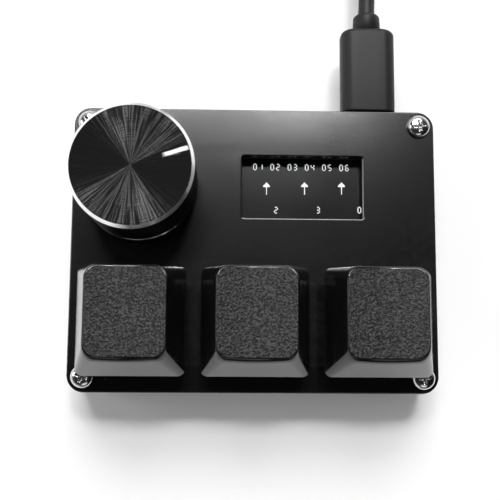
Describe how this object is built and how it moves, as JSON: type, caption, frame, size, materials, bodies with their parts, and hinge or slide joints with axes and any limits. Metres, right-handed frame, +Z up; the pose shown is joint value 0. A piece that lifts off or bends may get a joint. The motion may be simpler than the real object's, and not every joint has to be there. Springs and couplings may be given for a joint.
{
  "type": "macro keypad",
  "caption": "Small desk keypad: sprung keys, a turn-and-push knob and a little screen on a black face plate over a shallow case, with a plug-in lead.",
  "frame": {"origin": "on the table, under the middle of the case", "axes": "+X to the user's right along the row of keys, +Y away from the user towards the lead's port, +Z up"},
  "size_m": [0.064, 0.1675, 0.0292],
  "materials": {
    "plate_black": "bead-blasted black anodised sheet",
    "case_black": "fine-textured black moulding",
    "screw_steel": "bright zinc-plated pan head",
    "insert_brass": "turned brass",
    "foot_rubber": "soft black rubber",
    "board_laminate": "solder-masked laminate",
    "chip_black": "moulded epoxy package",
    "can_steel": "plated can",
    "capacitor_tan": "ceramic chip",
    "light_white": "clear-topped light package",
    "keycap_black": "grained black cap",
    "switch_black": "black moulding",
    "switch_clear_grey": "smoky dark moulding",
    "stem_plastic": "smooth slider moulding",
    "magnet_nickel": "nickel-plated magnet",
    "spring_steel": "drawn spring wire",
    "encoder_plastic": "filled moulding",
    "encoder_zinc": "die-cast zinc",
    "clip_steel": "pressed steel",
    "pin_tin": "tinned pin",
    "knob_aluminium": "black anodised side, spun face, bright cut bevel",
    "index_paint": "white filled line",
    "core_plastic": "black moulding",
    "tape_white": "foam tape",
    "screen_glass": "dark glass panel",
    "gasket_foam": "black foam",
    "ribbon_amber": "polyimide ribbon",
    "socket_steel": "nickel-plated shell",
    "contact_plastic": "black contact carrier",
    "lead_jacket": "matte black jacket",
    "tie_fabric": "woven hook-and-loop strap"
  },
  "bodies": {
    "housing": {"board_capacitors": "capacitor_tan", "bottom_case": "case_black", "crystal_can": "can_steel", "display_gasket": "gasket_foam", "display_panel": "screen_glass", "display_ribbon": "ribbon_amber", "display_tape": "tape_white", "encoder_base": "encoder_plastic", "encoder_clip": "clip_steel", "encoder_dome": "clip_steel", "encoder_housing": "encoder_zinc", "encoder_pins": "pin_tin", "hall_sensors": "chip_black", "key_lights": "light_white", "left_switch_base": "switch_black", "left_switch_spring": "spring_steel", "left_switch_top": "switch_clear_grey", "main_board": "board_laminate", "microcontroller": "chip_black", "middle_switch_base": "switch_black", "middle_switch_spring": "spring_steel", "middle_switch_top": "switch_clear_grey", "plate_screws": "screw_steel", "right_switch_base": "switch_black", "right_switch_spring": "spring_steel", "right_switch_top": "switch_clear_grey", "rubber_feet": "foot_rubber", "threaded_inserts": "insert_brass", "top_plate": "plate_black", "usb_socket_shell": "socket_steel", "usb_socket_tongue": "contact_plastic", "voltage_regulator": "chip_black"},
    "left_key": {"left_keycap": "keycap_black", "left_switch_stem": "stem_plastic", "left_stem_magnet": "magnet_nickel"},
    "middle_key": {"middle_keycap": "keycap_black", "middle_switch_stem": "stem_plastic", "middle_stem_magnet": "magnet_nickel"},
    "right_key": {"right_keycap": "keycap_black", "right_switch_stem": "stem_plastic", "right_stem_magnet": "magnet_nickel"},
    "knob_rotor": {"encoder_rotor": "encoder_plastic"},
    "knob": {"knob_shell": "knob_aluminium", "knob_index": "index_paint", "knob_core": "core_plastic", "encoder_shaft": "encoder_zinc"},
    "lead": {"usb_plug_shell": "socket_steel", "usb_plug_insert": "contact_plastic", "usb_plug_grip": "lead_jacket", "cable_strain_relief": "lead_jacket", "cable_run": "lead_jacket", "cable_coil": "lead_jacket", "cable_tie": "tie_fabric", "cable_tail": "lead_jacket", "far_plug_grip": "lead_jacket", "far_plug_shell": "socket_steel", "far_plug_tongue": "contact_plastic"}
  },
  "joints": [
    {"name": "left_key_press", "type": "slide", "parent": "housing", "child": "left_key", "axis": [0, 0, -1], "range_m": [0, 0.004], "stiffness_N_per_m": 75, "springref_m": -0.0047, "deforming": ["left_switch_spring"]},
    {"name": "middle_key_press", "type": "slide", "parent": "housing", "child": "middle_key", "axis": [0, 0, -1], "range_m": [0, 0.004], "stiffness_N_per_m": 75, "springref_m": -0.0047, "deforming": ["middle_switch_spring"]},
    {"name": "right_key_press", "type": "slide", "parent": "housing", "child": "right_key", "axis": [0, 0, -1], "range_m": [0, 0.004], "stiffness_N_per_m": 75, "springref_m": -0.0047, "deforming": ["right_switch_spring"]},
    {"name": "knob_turn", "type": "hinge", "parent": "housing", "child": "knob_rotor", "pos_m": [-0.0201, 0.011, 0], "axis": [0, 0, 1], "continuous": true},
    {"name": "knob_push", "type": "slide", "parent": "knob_rotor", "child": "knob", "axis": [0, 0, -1], "range_m": [0, 0.0005], "stiffness_N_per_m": 3000, "springref_m": -0.0003, "deforming": ["encoder_dome"]},
    {"name": "lead_unplug", "type": "slide", "parent": "housing", "child": "lead", "axis": [0, 1, 0], "range_m": [0, 0.008]}
  ]
}
